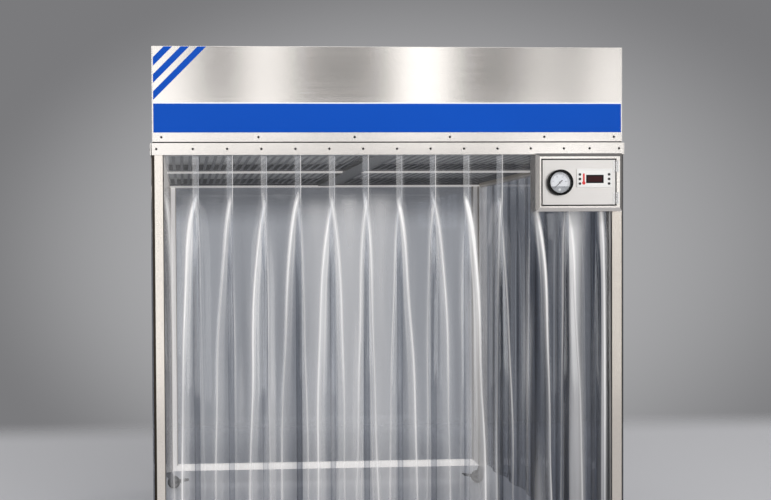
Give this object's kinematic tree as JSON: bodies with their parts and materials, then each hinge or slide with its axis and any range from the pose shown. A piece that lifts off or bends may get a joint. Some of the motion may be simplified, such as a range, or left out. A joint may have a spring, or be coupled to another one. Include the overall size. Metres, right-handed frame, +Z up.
{
  "type": "reverse laminar airflow booth",
  "caption": "Wheeled steel frame booth with a fan and filter header, clear overlapping strips on three sides, a clear rear sheet and a control box.",
  "frame": {"origin": "centre of the footprint on the floor", "axes": "+Z up, +X to the right seen from the front, the front faces -Y"},
  "size_m": [2.1196, 1.894, 2.406],
  "materials": {
    "tube_steel": "fine brushed",
    "sheet_steel": "fine brushed",
    "galvanised": "dull grey",
    "coloured_film": "satin film, blue with a pale edge",
    "clear_sheet": "clear",
    "clear_strip": "clear and flexible",
    "gasket": "matte",
    "screws": "polished",
    "filter_media": "pleated",
    "motor_paint": "satin black",
    "impeller_aluminium": "satin",
    "hinge_steel": "satin",
    "gauge_black": "semi-gloss black",
    "dial_white": "matte white",
    "pointer_black": "matte",
    "lens_clear": "clear",
    "controller_white": "printed membrane",
    "display_red": "dark red tinted window",
    "button_black": "matte",
    "caster_zinc": "zinc plated",
    "wheel_grey": "grey tread and hub",
    "pedal_dark": "dark"
  },
  "bodies": {
    "frame": {"front_left_post": "tube_steel", "front_right_post": "tube_steel", "rear_left_post": "tube_steel", "rear_right_post": "tube_steel", "front_top_rail": "tube_steel", "rear_top_rail": "tube_steel", "side_top_rails": "tube_steel", "rear_left_stile": "tube_steel", "rear_right_stile": "tube_steel", "rear_bottom_rail": "tube_steel", "rear_sheet": "clear_sheet", "fascia": "sheet_steel", "fascia_film": "coloured_film", "header_flange": "sheet_steel", "header_gasket": "gasket", "header_back_panel": "sheet_steel", "header_left_panel": "sheet_steel", "header_right_panel": "sheet_steel", "header_roof": "sheet_steel", "cover_screws": "screws", "curtain_clamps": "sheet_steel", "front_strips": "clear_strip", "side_strips": "clear_strip", "centre_beam": "tube_steel", "cross_bars": "tube_steel", "ceiling_trays": "galvanised", "main_filters": "filter_media", "inlet_filters": "filter_media", "fan_deck": "galvanised", "blower_motors": "motor_paint", "control_box": "sheet_steel", "door_gasket": "gasket", "box_hinge_leaves": "hinge_steel", "caster_stems": "caster_zinc"},
    "door": {"control_box_door": "sheet_steel", "door_hinge_leaves": "hinge_steel", "gauge_case": "gauge_black", "gauge_dial": "dial_white", "gauge_lens": "lens_clear", "controller": "controller_white", "controller_display": "display_red"},
    "pointer": {"gauge_pointer": "pointer_black"},
    "button_left_top": {"button_left_top": "button_black"},
    "button_left_middle": {"button_left_middle": "button_black"},
    "button_left_bottom": {"button_left_bottom": "button_black"},
    "button_right_top": {"button_right_top": "button_black"},
    "button_right_middle": {"button_right_middle": "button_black"},
    "button_right_bottom": {"button_right_bottom": "button_black"},
    "left_fan": {"left_impeller": "impeller_aluminium"},
    "right_fan": {"right_impeller": "impeller_aluminium"},
    "front_left_caster": {"front_left_fork": "caster_zinc"},
    "front_left_roller": {"front_left_wheel": "wheel_grey"},
    "front_right_caster": {"front_right_fork": "caster_zinc"},
    "front_right_roller": {"front_right_wheel": "wheel_grey"},
    "rear_left_caster": {"rear_left_fork": "caster_zinc"},
    "rear_left_roller": {"rear_left_wheel": "wheel_grey"},
    "rear_right_caster": {"rear_right_fork": "caster_zinc"},
    "rear_right_roller": {"rear_right_wheel": "wheel_grey"},
    "rear_left_brake": {"rear_left_pedal": "pedal_dark"},
    "rear_right_brake": {"rear_right_pedal": "pedal_dark"}
  },
  "joints": [
    {"name": "door_hinge", "type": "hinge", "parent": "frame", "child": "door", "pos_m": [0.979, -0.9375, 1.8], "axis": [0, 0, 1], "range_deg": [0, 110]},
    {"name": "gauge_reading", "type": "hinge", "parent": "door", "child": "pointer", "pos_m": [0.727, -0.94, 1.799], "axis": [0, 1, 0], "range_deg": [0, 270], "stiffness_Nm_per_rad": 0.002, "springref_deg": -5.73},
    {"name": "button_left_top_press", "type": "slide", "parent": "door", "child": "button_left_top", "axis": [0, 1, 0], "range_m": [0, 0.0015], "stiffness_N_per_m": 200, "springref_m": -0.001},
    {"name": "button_left_middle_press", "type": "slide", "parent": "door", "child": "button_left_middle", "axis": [0, 1, 0], "range_m": [0, 0.0015], "stiffness_N_per_m": 200, "springref_m": -0.001},
    {"name": "button_left_bottom_press", "type": "slide", "parent": "door", "child": "button_left_bottom", "axis": [0, 1, 0], "range_m": [0, 0.0015], "stiffness_N_per_m": 200, "springref_m": -0.001},
    {"name": "button_right_top_press", "type": "slide", "parent": "door", "child": "button_right_top", "axis": [0, 1, 0], "range_m": [0, 0.0015], "stiffness_N_per_m": 200, "springref_m": -0.001},
    {"name": "button_right_middle_press", "type": "slide", "parent": "door", "child": "button_right_middle", "axis": [0, 1, 0], "range_m": [0, 0.0015], "stiffness_N_per_m": 200, "springref_m": -0.001},
    {"name": "button_right_bottom_press", "type": "slide", "parent": "door", "child": "button_right_bottom", "axis": [0, 1, 0], "range_m": [0, 0.0015], "stiffness_N_per_m": 200, "springref_m": -0.001},
    {"name": "left_fan_spin", "type": "hinge", "parent": "frame", "child": "left_fan", "pos_m": [-0.52, 0.047, 2.17], "axis": [0, 0, 1], "continuous": true},
    {"name": "right_fan_spin", "type": "hinge", "parent": "frame", "child": "right_fan", "pos_m": [0.52, 0.047, 2.17], "axis": [0, 0, 1], "continuous": true},
    {"name": "front_left_swivel", "type": "hinge", "parent": "frame", "child": "front_left_caster", "pos_m": [-1.025, -0.828, 0.098], "axis": [0, 0, 1], "continuous": true},
    {"name": "front_left_roll", "type": "hinge", "parent": "front_left_caster", "child": "front_left_roller", "pos_m": [-0.99, -0.828, 0.04], "axis": [0, 1, 0], "continuous": true},
    {"name": "front_right_swivel", "type": "hinge", "parent": "frame", "child": "front_right_caster", "pos_m": [1.025, -0.828, 0.098], "axis": [0, 0, 1], "continuous": true},
    {"name": "front_right_roll", "type": "hinge", "parent": "front_right_caster", "child": "front_right_roller", "pos_m": [0.99, -0.828, 0.04], "axis": [0, 1, 0], "continuous": true},
    {"name": "rear_left_swivel", "type": "hinge", "parent": "frame", "child": "rear_left_caster", "pos_m": [-1.025, 0.922, 0.098], "axis": [0, 0, 1], "continuous": true},
    {"name": "rear_left_roll", "type": "hinge", "parent": "rear_left_caster", "child": "rear_left_roller", "pos_m": [-0.99, 0.922, 0.04], "axis": [0, 1, 0], "continuous": true},
    {"name": "rear_left_brake_press", "type": "hinge", "parent": "rear_left_caster", "child": "rear_left_brake", "pos_m": [-0.99, 0.922, 0.04], "axis": [0, 1, 0], "range_deg": [0, 12]},
    {"name": "rear_right_swivel", "type": "hinge", "parent": "frame", "child": "rear_right_caster", "pos_m": [1.025, 0.922, 0.098], "axis": [0, 0, 1], "continuous": true},
    {"name": "rear_right_roll", "type": "hinge", "parent": "rear_right_caster", "child": "rear_right_roller", "pos_m": [0.99, 0.922, 0.04], "axis": [0, 1, 0], "continuous": true},
    {"name": "rear_right_brake_press", "type": "hinge", "parent": "rear_right_caster", "child": "rear_right_brake", "pos_m": [0.99, 0.922, 0.04], "axis": [0, -1, 0], "range_deg": [0, 12]}
  ]
}
